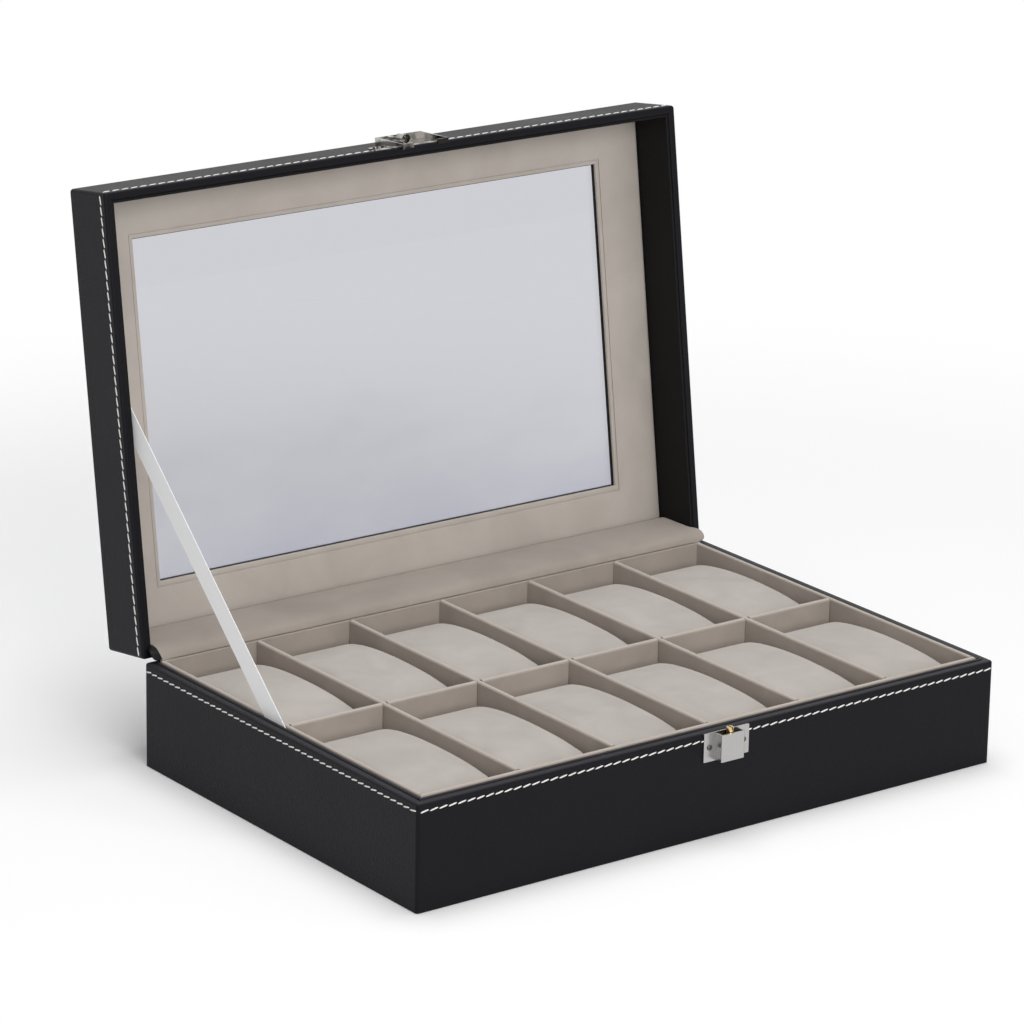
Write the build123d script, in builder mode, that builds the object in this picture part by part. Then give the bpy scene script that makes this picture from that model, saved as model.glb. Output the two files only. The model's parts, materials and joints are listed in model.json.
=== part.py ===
from build123d import *
from math import cos, radians, sin
import os

# Watch box for twelve watches: a leather-covered base with velvet cells and pillows, and a
# hinged lid with a window. +Z is up, the front is -Y, the origin is under the base's middle.
# Everything is in millimetres, and the lid is drawn open, where its stay ribbon holds it.

# Outer sizes
box_width = 300.0
box_depth = 198.0
base_height = 46.0
lid_height = 28.0
seam_gap = 0.3
open_angle = 98.0

# Wall layers, from the outside in
leather = 0.5
board = 2.5
lining = 1.8
lid_lining = 1.3
velvet_wall = 2.0
turn_in = 10.0
turn_under = 12.0
corner_radius = 1.5
rim_radius = 1.0
edge_ease = 0.4
groove_ease = 0.7
band_proud = 0.3

# Velvet cells
columns = 6
divider = 2.5
divider_ease = 1.1
divider_gap = 0.35
liner_ease = 0.9
back_thin = 0.5
lap_play = 0.25
floor_liner = 1.0
liner_proud = 1.0
pillow_width = 44.4
pillow_length = 88.6
pillow_shoulder = 39.0
pillow_crown = 44.6
pillow_corner = 12.0
pillow_ease = 2.5
pillow_lift = 0.3

# Window and its frame in the lid
window_width = 246.8
window_depth = 149.0
window_shift = -0.4
window_reveal = 0.5
frame_face = 22.0
frame_thickness = 3.0
frame_ease = 2.0
pane_thickness = 1.4
pane_margin = 4.0

# Hinges
hinge_spacing = 190.0
hinge_setback = 0.8
knuckle_radius = 1.2
knuckle_room = 0.08
pin_radius = 0.7
pin_play = 0.05
pin_head = 1.0
leaf_length = 30.0
leaf_thickness = 0.8
leaf_depth = 12.0
leaf_screw_spacing = 18.0
leaf_screw_height = 8.0
knuckle_gap = 0.2

# Lock on the base and hasp on the lid
lock_x = 4.0
plate_width = 23.5
plate_height = 12.4
plate_thickness = 0.7
plate_drop = 0.4
sheet_metal = 0.6
housing_width = 12.0
housing_height = 11.7
housing_depth = 4.5
barrel_radius = 1.65
spigot_radius = 1.1
barrel_play = 0.05
barrel_foot = 34.2
barrel_step = 36.4
barrel_top = 47.3
barrel_slot_depth = 1.2
web_depth = 3.6
hasp_wing_width = 33.0
hasp_cap_width = 24.0
hasp_start = 1.6
hasp_end = 8.0
hasp_tip = -13.0
hasp_metal = 0.8
hasp_near_rise = 3.2
hasp_far_rise = 4.8
hasp_wall_clearance = 0.9
hasp_lug_clearance = 1.1
hasp_notch = 12.8
tube_radius = 2.2
tube_bore = 1.75
tube_height = 3.0
screw_head = 1.2
screw_shank = 0.7
screw_length = 2.4

# Soft joining pieces
strip_thickness = 0.8
strip_gap = 0.05
strip_top_gap = 0.2
strip_foot_inset = 0.2
strip_ends = (144.8, 144.0, 141.8)
ribbon_width = 10.0
ribbon_thickness = 0.3
ribbon_pocket = 0.5
ribbon_pocket_width = 22.0
ribbon_pocket_depth = 12.0
ribbon_foot_y = 3.5
ribbon_foot_drop = 4.0
ribbon_reach = 107.0
ribbon_top_inset = 10.5
ribbon_clearance = 0.05

# Places worked out from the sizes
wall = 2 * leather + board
outer_x = box_width / 2
outer_y = box_depth / 2
board_x = outer_x - leather
board_y = outer_y - leather
well_x = board_x - board
well_y = board_y - board
wall_x = outer_x - wall
wall_y = outer_y - wall
liner_x = wall_x - lining
cell_x = liner_x - velvet_wall
cell_front = wall_y - lining - velvet_wall
cell_back = wall_y - velvet_wall
middle_y = (cell_back - cell_front) / 2
floor_top = leather + board
cell_floor = floor_top + floor_liner
liner_top = base_height + liner_proud
cell_width = (2 * cell_x - (columns - 1) * divider) / columns
cell_pitch = cell_width + divider
cell_depth = (cell_front + cell_back - divider) / 2
divider_height = liner_top - cell_floor
lap_height = divider_height / 2
hinge_y = outer_y + hinge_setback

# The lid's own plane lies through the hinge axis. When the lid is shut its X, Y and Z run
# along the box's, so a point of the shut lid is (x, y - hinge_y, z - base_height) here.
swing = radians(open_angle)
lid_plane = Plane(
    origin=(0, hinge_y, base_height), x_dir=(1, 0, 0), z_dir=(0, sin(swing), cos(swing))
)
lid_up = Axis(lid_plane.origin, lid_plane.z_dir)
lid_centre_y = -hinge_y
lid_back_y = wall_y - hinge_y
lid_front_y = -wall_y - hinge_y
lid_skin_top = lid_height - leather
lid_board_foot = seam_gap + leather
lid_board_top = lid_skin_top - board
pane_foot = frame_face + frame_thickness
hinge_places = (-hinge_spacing / 2, hinge_spacing / 2)

os.makedirs("parts", exist_ok=True)


def lid_point(x, y, z):
    """A point given in the lid's own plane, in the box's frame."""
    return lid_plane.from_local_coords((x, y, z))


def save(part, name):
    """Label a finished piece and write it as one STEP file."""
    part.label = name
    export_step(part, f"parts/{name}.step")


# Faces that the metalwork is screwed to: the front of the base, and the front of the lid
lock_face = Plane(origin=(lock_x, -outer_y, 0), x_dir=(1, 0, 0), z_dir=(0, -1, 0))
hasp_face = Plane(
    origin=lid_point(lock_x, -outer_y - hinge_y, 0), x_dir=(1, 0, 0), z_dir=-lid_plane.y_dir
)
lock_screw_x = (plate_width + housing_width) / 4
lock_screw_z = base_height - plate_drop - plate_height / 2
hasp_screw_x = (hasp_wing_width + hasp_cap_width) / 4
hasp_screw_z = (hasp_start + hasp_end) / 2
lock_screw_points = [(-lock_screw_x, lock_screw_z), (lock_screw_x, lock_screw_z)]
hasp_screw_points = [(-hasp_screw_x, hasp_screw_z), (hasp_screw_x, hasp_screw_z)]

# Hinge leaves: each runs in over the rim and turns along the inside of the back wall.
# A leaf is drawn on a plane of the part that it is fixed to, seen along +X.
base_leaf_plane = Plane(origin=(0, hinge_y, base_height), x_dir=(0, 1, 0), z_dir=(1, 0, 0))
lid_leaf_plane = Plane(
    origin=(0, hinge_y, base_height), x_dir=lid_plane.y_dir, z_dir=(1, 0, 0)
)
leaf_screw_points = [
    (place + side * leaf_screw_spacing / 2, 0) for place in hinge_places for side in (-1, 1)
]


def leaf_profile(rise, foot):
    """The bent strip of one hinge leaf: flat over the rim, then along the wall by `rise`."""
    inner = lid_back_y
    end = foot + rise
    top = foot + leaf_thickness if rise > 0 else foot - leaf_thickness
    return [
        (0, foot),
        (inner, foot),
        (inner, end),
        (inner + leaf_thickness, end),
        (inner + leaf_thickness, top),
        (0, top),
    ]


base_leaf_outline = leaf_profile(-leaf_depth, 0)
lid_leaf_outline = leaf_profile(leaf_depth, seam_gap)


def leaf_recesses(plane, outline):
    """The solid that one side's leaves and knuckles fill in the back wall."""
    with BuildPart() as recess:
        for place in hinge_places:
            with BuildSketch(plane.offset(place - leaf_length / 2)):
                with BuildLine():
                    Polyline(*outline, close=True)
                make_face()
                Circle(knuckle_radius + knuckle_room)
            extrude(amount=leaf_length)
    return recess.part


base_recesses = leaf_recesses(base_leaf_plane, base_leaf_outline)
lid_recesses = leaf_recesses(lid_leaf_plane, lid_leaf_outline)

# Planes on the inner face of the back wall, looking into the wood, for the leaf screws
base_screw_plane = Plane(
    origin=(0, wall_y, base_height - leaf_screw_height), x_dir=(1, 0, 0), z_dir=(0, -1, 0)
)
lid_screw_plane = Plane(
    origin=lid_point(0, lid_back_y, seam_gap + leaf_screw_height),
    x_dir=(1, 0, 0),
    z_dir=-lid_plane.y_dir,
)

# --- Base: the wooden carcass ---------------------------------------------------------

board_height = base_height - 2 * leather

# Front board, with the pilot holes of the lock's screws
with BuildPart() as base_front_board:
    with BuildSketch(Plane.XY.offset(leather)):
        with Locations((0, -board_y + board / 2)):
            Rectangle(2 * board_x, board)
    extrude(amount=board_height)
    with Locations(lock_face.offset(-leather)):
        with Locations(*lock_screw_points):
            Hole(screw_shank, depth=screw_length - leather)
save(base_front_board.part, "base_front_board")

# Back board, let out for the hinge leaves and drilled for their screws
with BuildPart() as base_back_board:
    with BuildSketch(Plane.XY.offset(leather)):
        with Locations((0, board_y - board / 2)):
            Rectangle(2 * board_x, board)
    extrude(amount=board_height)
    add(base_recesses, mode=Mode.SUBTRACT)
    with Locations(base_screw_plane.offset(-leaf_thickness)):
        with Locations(*leaf_screw_points):
            Hole(screw_shank, depth=screw_length - leaf_thickness)
save(base_back_board.part, "base_back_board")

# Side boards, butted between the front and the back
for side, name in ((-1, "base_left_board"), (1, "base_right_board")):
    with BuildPart() as side_board:
        with BuildSketch(Plane.XY.offset(leather)):
            with Locations((side * (board_x - board / 2), 0)):
                Rectangle(board, 2 * well_y)
        extrude(amount=board_height)
    save(side_board.part, name)

# Floor board, set between the four walls
with BuildPart() as base_floor_board:
    with BuildSketch(Plane.XY.offset(leather)):
        Rectangle(2 * well_x, 2 * well_y)
    extrude(amount=board)
save(base_floor_board.part, "base_floor_board")

# One skin of leather: up the outside, over the rim, down inside, and under the bottom edge
with BuildPart() as base_leather:
    with BuildSketch():
        RectangleRounded(box_width, box_depth, corner_radius)
    extrude(amount=base_height)
    with BuildSketch(Plane.XY.offset(leather)):
        Rectangle(2 * board_x, 2 * board_y)
    extrude(amount=base_height - leather - turn_in, mode=Mode.SUBTRACT)
    with BuildSketch(Plane.XY.offset(base_height - turn_in)):
        Rectangle(2 * board_x, 2 * board_y)
        Rectangle(2 * well_x, 2 * well_y, mode=Mode.SUBTRACT)
    extrude(amount=turn_in - leather, mode=Mode.SUBTRACT)
    with BuildSketch(Plane.XY.offset(base_height - turn_in)):
        Rectangle(2 * wall_x, 2 * wall_y)
    extrude(amount=turn_in, mode=Mode.SUBTRACT)
    with BuildSketch():
        Rectangle(box_width - 2 * turn_under, box_depth - 2 * turn_under)
    extrude(amount=leather, mode=Mode.SUBTRACT)
    rim = base_leather.faces().sort_by(Axis.Z)[-1]
    fillet(rim.outer_wire().edges(), rim_radius)
    rim = base_leather.faces().sort_by(Axis.Z)[-1]
    fillet(rim.inner_wires()[0].edges(), groove_ease)
    add(base_recesses, mode=Mode.SUBTRACT)
    with Locations(lock_face):
        with Locations(*lock_screw_points):
            Hole(screw_shank, depth=leather)
save(base_leather.part, "base_leather")

# Cloth that closes the underside, level with the turned leather
with BuildPart() as bottom_cloth:
    with BuildSketch():
        Rectangle(box_width - 2 * turn_under, box_depth - 2 * turn_under)
    extrude(amount=leather)
save(bottom_cloth.part, "bottom_cloth")

# --- Base: black inner band ------------------------------------------------------------

band_top = base_height + band_proud

with BuildPart() as base_lining_front:
    with BuildSketch(Plane.XY.offset(floor_top)):
        with Locations((0, -wall_y + lining / 2)):
            Rectangle(2 * wall_x, lining)
    extrude(amount=band_top - floor_top)
    fillet(base_lining_front.faces().sort_by(Axis.Z)[-1].edges().filter_by(Axis.X), groove_ease)
save(base_lining_front.part, "base_lining_front")

# The stay ribbon starts behind the left liner, in a shallow pocket of the left band. It runs
# up to the lid's left wall, and this line is its middle.
ribbon_start = Vector(0, ribbon_foot_y, base_height - ribbon_foot_drop)
ribbon_end = lid_point(0, lid_back_y - ribbon_reach, ribbon_top_inset)
ribbon_run = ribbon_end - ribbon_start
ribbon_x = -wall_x + lid_lining + ribbon_clearance
ribbon_plane = Plane(
    origin=(ribbon_x, ribbon_start.Y, ribbon_start.Z), x_dir=ribbon_run, z_dir=(1, 0, 0)
)

for side, name in ((-1, "base_lining_left"), (1, "base_lining_right")):
    with BuildPart() as side_lining:
        with BuildSketch(Plane.XY.offset(floor_top)):
            with Locations((side * (wall_x - lining / 2), lining / 2)):
                Rectangle(lining, 2 * wall_y - lining)
        extrude(amount=band_top - floor_top)
        top_edges = side_lining.faces().sort_by(Axis.Z)[-1].edges()
        fillet(top_edges.filter_by(Axis.Y), groove_ease)
        if side < 0:
            with Locations((-liner_x, ribbon_foot_y + ribbon_foot_drop, base_height)):
                Box(
                    2 * ribbon_pocket,
                    ribbon_pocket_width,
                    2 * ribbon_pocket_depth,
                    mode=Mode.SUBTRACT,
                )
    save(side_lining.part, name)

# --- Base: velvet liners, floor and dividers --------------------------------------------

# Front liner, full width, with its top edge rounded over all round
with BuildPart() as liner_front:
    with BuildSketch(Plane.XY.offset(floor_top)):
        with Locations((0, -cell_front - velvet_wall / 2)):
            Rectangle(2 * liner_x, velvet_wall)
    extrude(amount=liner_top - floor_top)
    fillet(liner_front.faces().sort_by(Axis.Z)[-1].edges(), liner_ease)
save(liner_front.part, "liner_front")

# Back liner, thinned at the back of its top so that the shutting lid clears it
with BuildPart() as liner_back:
    with BuildSketch(Plane.XY.offset(floor_top)):
        with Locations((0, cell_back + velvet_wall / 2)):
            Rectangle(2 * liner_x, velvet_wall)
    extrude(amount=liner_top - floor_top)
    with Locations((0, wall_y, liner_top)):
        Box(2 * liner_x, 2 * back_thin, 2 * (liner_proud + edge_ease), mode=Mode.SUBTRACT)
    top_edges = liner_back.faces().sort_by(Axis.Z)[-1].edges()
    fillet(top_edges.filter_by(Axis.X), liner_ease / 2)
save(liner_back.part, "liner_back")

for side, name in ((-1, "liner_left"), (1, "liner_right")):
    with BuildPart() as side_liner:
        with BuildSketch(Plane.XY.offset(floor_top)):
            with Locations((side * (cell_x + velvet_wall / 2), middle_y)):
                Rectangle(velvet_wall, cell_front + cell_back)
        extrude(amount=liner_top - floor_top)
        top_edges = side_liner.faces().sort_by(Axis.Z)[-1].edges()
        fillet(top_edges.filter_by(Axis.Y), liner_ease)
    save(side_liner.part, name)

with BuildPart() as liner_floor:
    with BuildSketch(Plane.XY.offset(floor_top)):
        with Locations((0, middle_y)):
            Rectangle(2 * cell_x, cell_front + cell_back)
    extrude(amount=floor_liner)
save(liner_floor.part, "liner_floor")

# Long divider, slotted from the top where the cross dividers drop in
cross_places = [(i + 1) * cell_pitch - cell_x - divider / 2 for i in range(columns - 1)]
with BuildPart() as long_divider:
    with BuildSketch(Plane.XY.offset(cell_floor)):
        with Locations((0, middle_y)):
            Rectangle(2 * (cell_x - divider_gap), divider)
    extrude(amount=divider_height)
    top_edges = long_divider.faces().sort_by(Axis.Z)[-1].edges()
    fillet(top_edges.filter_by(Axis.X), divider_ease)
    with BuildSketch(Plane.XY.offset(cell_floor + lap_height)):
        with Locations(*[(x, middle_y) for x in cross_places]):
            Rectangle(divider + 2 * lap_play, divider)
    extrude(amount=lap_height, mode=Mode.SUBTRACT)
save(long_divider.part, "long_divider")

# Cross dividers, slotted from below to half their height
for number, x in enumerate(cross_places, start=1):
    with BuildPart() as cross_divider:
        with BuildSketch(Plane.XY.offset(cell_floor)):
            with Locations((x, middle_y)):
                Rectangle(divider, cell_front + cell_back - 2 * divider_gap)
        extrude(amount=divider_height)
        top_edges = cross_divider.faces().sort_by(Axis.Z)[-1].edges()
        fillet(top_edges.filter_by(Axis.Y), divider_ease)
        with BuildSketch(Plane.XY.offset(cell_floor)):
            with Locations((x, middle_y)):
                Rectangle(divider, divider + 2 * lap_play)
        extrude(amount=lap_height, mode=Mode.SUBTRACT)
    save(cross_divider.part, f"cross_divider_{number}")

# --- Watch pillows: soft blocks with a crowned top, one loose in each cell ---------------

pillow_foot = cell_floor + pillow_lift
row_shift = (cell_depth + divider) / 2
pillow_places = [
    (cell_width / 2 - cell_x + column * cell_pitch, middle_y + row)
    for row in (-row_shift, row_shift)
    for column in range(columns)
]
for number, (x, y) in enumerate(pillow_places, start=1):
    side_plane = Plane(origin=(x - pillow_width / 2, y, 0), x_dir=(0, 1, 0), z_dir=(1, 0, 0))
    with BuildPart() as pillow:
        with BuildSketch(side_plane) as profile:
            with BuildLine():
                ends = pillow_length / 2
                Line((-ends, pillow_foot), (ends, pillow_foot))
                Line((ends, pillow_foot), (ends, pillow_shoulder))
                ThreePointArc((ends, pillow_shoulder), (0, pillow_crown), (-ends, pillow_shoulder))
                Line((-ends, pillow_shoulder), (-ends, pillow_foot))
            make_face()
            fillet(profile.vertices(), pillow_corner)
        extrude(amount=pillow_width)
        end_faces = pillow.faces().filter_by(Axis.X)
        chamfer(end_faces.edges(), pillow_ease)
    save(pillow.part, f"pillow_{number}")

# --- Lock: a pressed plate, a folded housing soldered to it, and the turning barrel ------

plate_foot = base_height - plate_drop - plate_height
plate_centre = plate_foot + plate_height / 2
with BuildPart() as lock_plate:
    with BuildSketch(lock_face):
        with Locations((0, plate_centre)):
            RectangleRounded(plate_width, plate_height, edge_ease)
    extrude(amount=plate_thickness)
    with Locations(lock_face.offset(plate_thickness)):
        with Locations(*lock_screw_points):
            Hole(screw_shank, depth=plate_thickness)
save(lock_plate.part, "lock_plate")

# The housing is one strip folded round the front and both sides, open above. Two webs inside
# carry the barrel: the lower one its spigot, the upper one its body.
housing_foot = base_height - plate_drop - edge_ease - housing_height
housing_top = housing_foot + housing_height
housing_inner = housing_width / 2 - sheet_metal
barrel_out = plate_thickness + (housing_depth - sheet_metal) / 2
lower_web = barrel_step - barrel_play * 2 - sheet_metal
upper_web = housing_top - web_depth
with BuildPart() as lock_housing:
    with BuildSketch(lock_face.offset(plate_thickness)):
        with Locations((0, (housing_foot + housing_top) / 2)):
            Rectangle(housing_width, housing_height)
    extrude(amount=housing_depth)
    upright = lock_housing.edges().filter_by(Axis.Z).sort_by(Axis.Y)[:2]
    fillet(upright, sheet_metal)
    with BuildSketch(Plane.XY.offset(housing_foot)):
        with Locations((lock_x, -outer_y - plate_thickness - (housing_depth - sheet_metal) / 2)):
            Rectangle(2 * housing_inner, housing_depth - sheet_metal)
    extrude(amount=housing_height, mode=Mode.SUBTRACT)
    for web, bore in ((lower_web, spigot_radius), (upper_web, barrel_radius)):
        with BuildSketch(Plane.XY.offset(web)):
            with Locations((lock_x, -outer_y - barrel_out)):
                Rectangle(2 * housing_inner, housing_depth - sheet_metal)
                Circle(bore + barrel_play, mode=Mode.SUBTRACT)
        extrude(amount=sheet_metal)
save(lock_housing.part, "lock_housing")

# Brass barrel on a thinner spigot, with a driver slot across its top
with BuildPart() as key_barrel:
    with BuildSketch(Plane.XY.offset(barrel_foot)):
        with Locations((lock_x, -outer_y - barrel_out)):
            Circle(spigot_radius)
    extrude(amount=barrel_step - barrel_foot)
    with BuildSketch(Plane.XY.offset(barrel_step)):
        with Locations((lock_x, -outer_y - barrel_out)):
            Circle(barrel_radius)
    extrude(amount=barrel_top - barrel_step)
    top_rim = key_barrel.faces().sort_by(Axis.Z)[-1].edges()
    chamfer(top_rim, edge_ease / 2)
    with BuildSketch(Plane.XY.offset(barrel_top)):
        with Locations((lock_x, -outer_y - barrel_out)):
            Rectangle(sheet_metal, 2 * barrel_radius)
    extrude(amount=-barrel_slot_depth, mode=Mode.SUBTRACT)
save(key_barrel.part, "key_barrel")


def round_head_screws(plane, points, seat):
    """Round-headed screws driven through a plate whose face is `seat` out from the plane."""
    with BuildPart() as screws:
        with Locations(plane.offset(seat)):
            with Locations(*points):
                Cylinder(
                    screw_shank,
                    screw_length + seat,
                    align=(Align.CENTER, Align.CENTER, Align.MAX),
                )
                Cone(
                    screw_head,
                    screw_shank,
                    screw_head / 2,
                    align=(Align.CENTER, Align.CENTER, Align.MIN),
                )
    return screws.part


save(round_head_screws(lock_face, lock_screw_points, plate_thickness), "lock_screws")

# --- Hinges: two small butt hinges with cranked leaves -----------------------------------

knuckle = leaf_length / 3


def hinge_leaf(place, plane, outline, screw_plane, has_middle):
    """One leaf: the bent plate, with either the middle knuckle or the two outer ones."""
    outer_shift = knuckle + knuckle_gap / 2
    shifts = (0,) if has_middle else (-outer_shift, outer_shift)
    kept = knuckle - knuckle_gap
    bore = pin_radius + (pin_play if has_middle else 0)
    with BuildPart() as leaf:
        with BuildSketch(plane.offset(place - leaf_length / 2)):
            with BuildLine():
                Polyline(*outline, close=True)
            make_face()
        extrude(amount=leaf_length)
        # The plate stops short of the other leaf's knuckles
        with BuildSketch(plane.offset(place - leaf_length / 2)):
            Rectangle(2 * (knuckle_radius + knuckle_gap), 4 * knuckle_radius)
        extrude(amount=leaf_length, mode=Mode.SUBTRACT)
        for shift in shifts:
            with BuildSketch(plane.offset(place + shift - kept / 2)):
                Circle(knuckle_radius)
                with Locations((outline[1][0] / 4, (outline[0][1] + outline[5][1]) / 2)):
                    Rectangle(-outline[1][0] / 2, leaf_thickness)
            extrude(amount=kept)
            with BuildSketch(plane.offset(place + shift - kept / 2)):
                Circle(bore)
            extrude(amount=kept, mode=Mode.SUBTRACT)
        with Locations(screw_plane):
            for side in (-1, 1):
                with Locations((place + side * leaf_screw_spacing / 2, 0)):
                    CounterSinkHole(screw_shank, screw_shank + leaf_thickness, counter_sink_angle=90)
    return leaf.part


for place, side_name in zip(hinge_places, ("left", "right")):
    base_leaf = hinge_leaf(place, base_leaf_plane, base_leaf_outline, base_screw_plane, False)
    save(base_leaf, f"{side_name}_hinge_base_leaf")
    lid_leaf = hinge_leaf(place, lid_leaf_plane, lid_leaf_outline, lid_screw_plane, True)
    save(lid_leaf, f"{side_name}_hinge_lid_leaf")

# Pins, one through each hinge, with a small head at both ends
with BuildPart() as hinge_pins:
    for place in hinge_places:
        with BuildSketch(base_leaf_plane.offset(place - leaf_length / 2)):
            Circle(pin_radius)
        extrude(amount=leaf_length)
        for end in (-leaf_length / 2 - edge_ease, leaf_length / 2):
            with BuildSketch(base_leaf_plane.offset(place + end)):
                Circle(pin_head)
            extrude(amount=edge_ease)
save(hinge_pins.part, "hinge_pins")


def countersunk_screws(plane):
    """Flat-headed screws through both leaves of one side, flush with the leaves."""
    with BuildPart() as screws:
        with Locations(plane):
            with Locations(*leaf_screw_points):
                Cylinder(
                    screw_shank,
                    screw_length,
                    align=(Align.CENTER, Align.CENTER, Align.MAX),
                )
                Cone(
                    screw_shank,
                    screw_shank + leaf_thickness,
                    leaf_thickness,
                    align=(Align.CENTER, Align.CENTER, Align.MAX),
                )
    return screws.part


save(countersunk_screws(base_screw_plane), "hinge_base_screws")
save(countersunk_screws(lid_screw_plane), "hinge_lid_screws")

# --- Hinge strip: velvet from the lid's back wall down to the base's back liner ----------

strip_top = pane_foot - strip_top_gap
strip_inner = lid_back_y - strip_gap
strip_rim = seam_gap - strip_gap
upper_outer = lid_point(0, strip_inner, strip_top)
upper_inner = lid_point(0, strip_inner - strip_thickness, strip_top)
fold_outer = lid_point(0, strip_inner, strip_rim)
fold_inner = lid_point(0, strip_inner - strip_thickness, strip_rim)
foot_back = Vector(0, wall_y - back_thin - 2 * strip_gap, liner_top + strip_gap)
foot_front = Vector(0, cell_back + strip_foot_inset, liner_top + strip_gap)
foot_top = Vector(0, cell_back + 2 * strip_foot_inset, liner_top + strip_thickness)
back_view = Plane(origin=(-strip_ends[0], 0, 0), x_dir=(0, 1, 0), z_dir=(1, 0, 0))
strip_outline = [
    (point.Y, point.Z)
    for point in (
        foot_back,
        fold_outer,
        upper_outer,
        upper_inner,
        fold_inner,
        foot_top,
        foot_front,
    )
]
with BuildPart() as hinge_strip:
    with BuildSketch(back_view):
        with BuildLine():
            Polyline(*strip_outline, close=True)
        make_face()
    extrude(amount=2 * strip_ends[0])
    # Both ends are cut on the slant, so the strip narrows towards the base
    with BuildSketch(Plane.XY.offset(liner_top - strip_thickness)):
        for side in (-1, 1):
            with BuildLine():
                Polyline(
                    (side * strip_ends[0], upper_inner.Y),
                    (side * strip_ends[1], fold_inner.Y),
                    (side * strip_ends[2], foot_front.Y),
                    (side * (strip_ends[0] + 1), foot_front.Y),
                    (side * (strip_ends[0] + 1), upper_inner.Y),
                    close=True,
                )
            make_face()
    extrude(amount=leaf_depth, mode=Mode.SUBTRACT)
save(hinge_strip.part, "hinge_strip")

# --- Stay ribbon: a taut flat band that stops the lid ------------------------------------

with BuildPart() as stay_ribbon:
    with BuildSketch(ribbon_plane):
        with Locations((ribbon_run.length / 2, 0)):
            Rectangle(ribbon_run.length, ribbon_width)
    extrude(amount=ribbon_thickness)
save(stay_ribbon.part, "stay_ribbon")

# --- Lid: the wooden tray ----------------------------------------------------------------

lid_wall_height = lid_board_top - lid_board_foot

with BuildPart() as lid_front_board:
    with BuildSketch(lid_plane.offset(lid_board_foot)):
        with Locations((0, lid_centre_y - board_y + board / 2)):
            Rectangle(2 * board_x, board)
    extrude(amount=lid_wall_height)
    with Locations(hasp_face.offset(-leather)):
        with Locations(*hasp_screw_points):
            Hole(screw_shank, depth=screw_length - leather)
save(lid_front_board.part, "lid_front_board")

with BuildPart() as lid_back_board:
    with BuildSketch(lid_plane.offset(lid_board_foot)):
        with Locations((0, lid_centre_y + board_y - board / 2)):
            Rectangle(2 * board_x, board)
    extrude(amount=lid_wall_height)
    add(lid_recesses, mode=Mode.SUBTRACT)
    with Locations(lid_screw_plane.offset(-leaf_thickness)):
        with Locations(*leaf_screw_points):
            Hole(screw_shank, depth=screw_length - leaf_thickness)
save(lid_back_board.part, "lid_back_board")

for side, name in ((-1, "lid_left_board"), (1, "lid_right_board")):
    with BuildPart() as lid_side_board:
        with BuildSketch(lid_plane.offset(lid_board_foot)):
            with Locations((side * (board_x - board / 2), lid_centre_y)):
                Rectangle(board, 2 * well_y)
        extrude(amount=lid_wall_height)
    save(lid_side_board.part, name)

# Top frame round the window, with a rebate underneath that the pane drops into
window_y = lid_centre_y + window_shift
outer_window_width = window_width - 2 * window_reveal
outer_window_depth = window_depth - 2 * window_reveal
pane_width = outer_window_width + 2 * pane_margin
pane_depth = outer_window_depth + 2 * pane_margin
with BuildPart() as lid_top_frame:
    with BuildSketch(lid_plane.offset(lid_board_top)):
        with Locations((0, lid_centre_y)):
            Rectangle(2 * board_x, 2 * board_y)
        with Locations((0, window_y)):
            Rectangle(
                outer_window_width + 2 * leather,
                outer_window_depth + 2 * leather,
                mode=Mode.SUBTRACT,
            )
    extrude(amount=board)
    with BuildSketch(lid_plane.offset(lid_board_top)):
        with Locations((0, window_y)):
            Rectangle(pane_width, pane_depth)
    extrude(amount=pane_thickness, mode=Mode.SUBTRACT)
save(lid_top_frame.part, "lid_top_frame")

# One skin of leather over the lid, turned in at the rim and into the window
pane_top = pane_foot + pane_thickness
with BuildPart() as lid_leather:
    with BuildSketch(lid_plane.offset(seam_gap)):
        with Locations((0, lid_centre_y)):
            RectangleRounded(box_width, box_depth, corner_radius)
    extrude(amount=lid_height - seam_gap)
    with BuildSketch(lid_plane.offset(seam_gap + turn_in)):
        with Locations((0, lid_centre_y)):
            Rectangle(2 * board_x, 2 * board_y)
    extrude(amount=lid_skin_top - seam_gap - turn_in, mode=Mode.SUBTRACT)
    with BuildSketch(lid_plane.offset(lid_board_foot)):
        with Locations((0, lid_centre_y)):
            Rectangle(2 * board_x, 2 * board_y)
            Rectangle(2 * well_x, 2 * well_y, mode=Mode.SUBTRACT)
    extrude(amount=turn_in - leather, mode=Mode.SUBTRACT)
    with BuildSketch(lid_plane.offset(seam_gap)):
        with Locations((0, lid_centre_y)):
            Rectangle(2 * wall_x, 2 * wall_y)
    extrude(amount=turn_in, mode=Mode.SUBTRACT)
    crown = lid_leather.faces().sort_by(lid_up)[-1]
    fillet(crown.edges(), rim_radius)
    rim = lid_leather.faces().sort_by(lid_up)[0]
    fillet(rim.outer_wire().edges(), rim_radius)
    rim = lid_leather.faces().sort_by(lid_up)[0]
    fillet(rim.inner_wires()[0].edges(), groove_ease)
    with BuildSketch(lid_plane.offset(pane_top)):
        with Locations((0, window_y)):
            Rectangle(outer_window_width + 2 * leather, outer_window_depth + 2 * leather)
    extrude(amount=lid_height - pane_top)
    with BuildSketch(lid_plane.offset(pane_top)):
        with Locations((0, window_y)):
            Rectangle(outer_window_width, outer_window_depth)
    extrude(amount=lid_height - pane_top, mode=Mode.SUBTRACT)
    crown = lid_leather.faces().sort_by(lid_up)[-1]
    fillet(crown.inner_wires()[0].edges(), edge_ease)
    add(lid_recesses, mode=Mode.SUBTRACT)
    with Locations(hasp_face):
        with Locations(*hasp_screw_points):
            Hole(screw_shank, depth=leather)
save(lid_leather.part, "lid_leather")

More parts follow.
